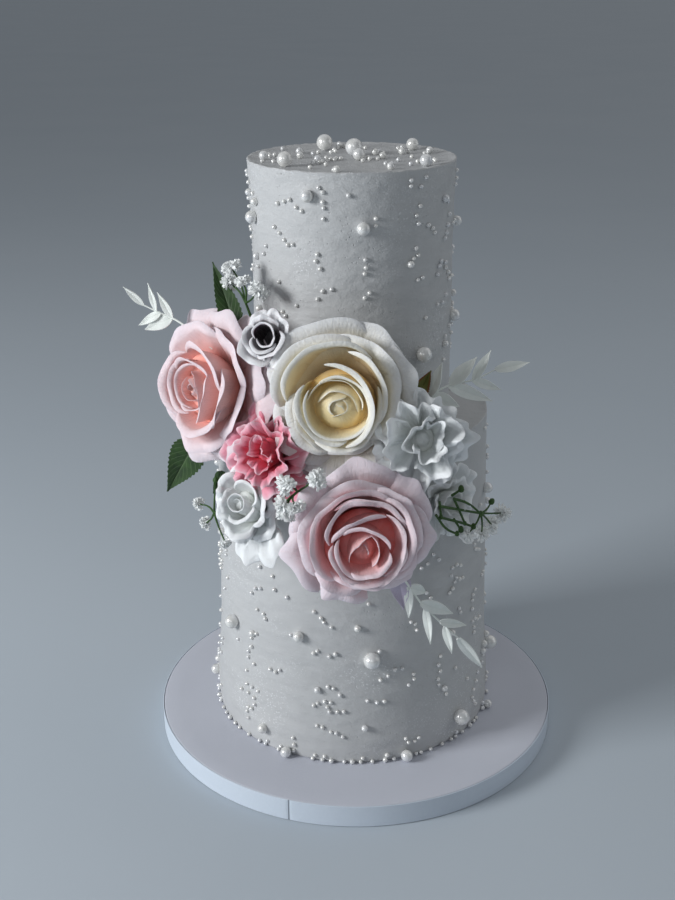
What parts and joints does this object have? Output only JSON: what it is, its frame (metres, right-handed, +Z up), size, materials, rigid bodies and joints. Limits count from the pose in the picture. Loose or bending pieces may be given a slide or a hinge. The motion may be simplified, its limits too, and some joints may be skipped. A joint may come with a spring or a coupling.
{
  "type": "two tier cake with silk flowers",
  "caption": "Tall two-tier buttercream cake on a round drum, dotted with sugar pearls and dressed with a cluster of silk roses, small white flowers and leaves.",
  "frame": {"origin": "centre of the tiers' axis at the drum's underside", "axes": "+Z up, -Y towards the dressed front, +X to the right as seen from the front"},
  "size_m": [0.2319, 0.2401, 0.3336],
  "materials": {
    "buttercream": "cool white buttercream, smoothed by hand, faint lustre",
    "pearl": "ivory white pearl sheen",
    "drum_paper": "matt pale lilac-grey covering paper",
    "drum_strip": "smooth pale blue-white paper strip",
    "cream_silk": "silk petal, white rim to cream-yellow heart",
    "pink_silk": "silk petal, pale pink rim to salmon heart",
    "hot_pink_silk": "silk petal, deep pink with pale edges",
    "white_foam": "matt cool white foam petal",
    "bud_silk": "white silk petal round a burgundy-black heart",
    "gypsophila": "white tufted floret on a green twig",
    "sage_leaf": "matt pale sage-white leaf",
    "green_leaf": "dark green printed leaf with pale veins",
    "olive_leaf": "olive leaf browned at its edge",
    "lilac_silk": "thin lilac silk petal"
  },
  "bodies": {
    "root": {"cake_drum": "drum_paper", "carnation": "hot_pink_silk", "drum_edge_strip": "drum_strip", "flower_white_left": "white_foam", "flower_white_low": "white_foam", "flower_white_right": "white_foam", "gypsophila_left": "gypsophila", "gypsophila_middle": "gypsophila", "gypsophila_right": "gypsophila", "gypsophila_top": "gypsophila", "leaf_left": "green_leaf", "leaf_left_small": "green_leaf", "leaf_middle": "green_leaf", "leaf_olive": "olive_leaf", "leaf_top": "green_leaf", "lower_tier": "buttercream", "pearl_drum_01": "pearl", "pearl_drum_02": "pearl", "pearl_drum_03": "pearl", "pearl_lower_01": "pearl", "pearl_lower_02": "pearl", "pearl_lower_03": "pearl", "pearl_lower_04": "pearl", "pearl_lower_05": "pearl", "pearl_lower_06": "pearl", "pearl_lower_07": "pearl", "pearl_lower_08": "pearl", "pearl_lower_09": "pearl", "pearl_lower_10": "pearl", "pearl_lower_11": "pearl", "pearl_lower_12": "pearl", "pearl_lower_13": "pearl", "pearl_top_01": "pearl", "pearl_top_02": "pearl", "pearl_top_03": "pearl", "pearl_top_04": "pearl", "pearl_top_05": "pearl", "pearl_top_06": "pearl", "pearl_top_07": "pearl", "pearl_upper_01": "pearl", "pearl_upper_02": "pearl", "pearl_upper_03": "pearl", "pearl_upper_04": "pearl", "pearl_upper_05": "pearl", "pearl_upper_06": "pearl", "pearl_upper_07": "pearl", "pearl_upper_08": "pearl", "pearl_upper_09": "pearl", "petal_lilac": "lilac_silk", "rose_cream": "cream_silk", "rose_pink_left": "pink_silk", "rose_pink_low": "pink_silk", "rosebud_white": "bud_silk", "spray_left": "sage_leaf", "spray_low": "sage_leaf", "spray_right": "sage_leaf", "upper_tier": "buttercream"}
  },
  "joints": []
}
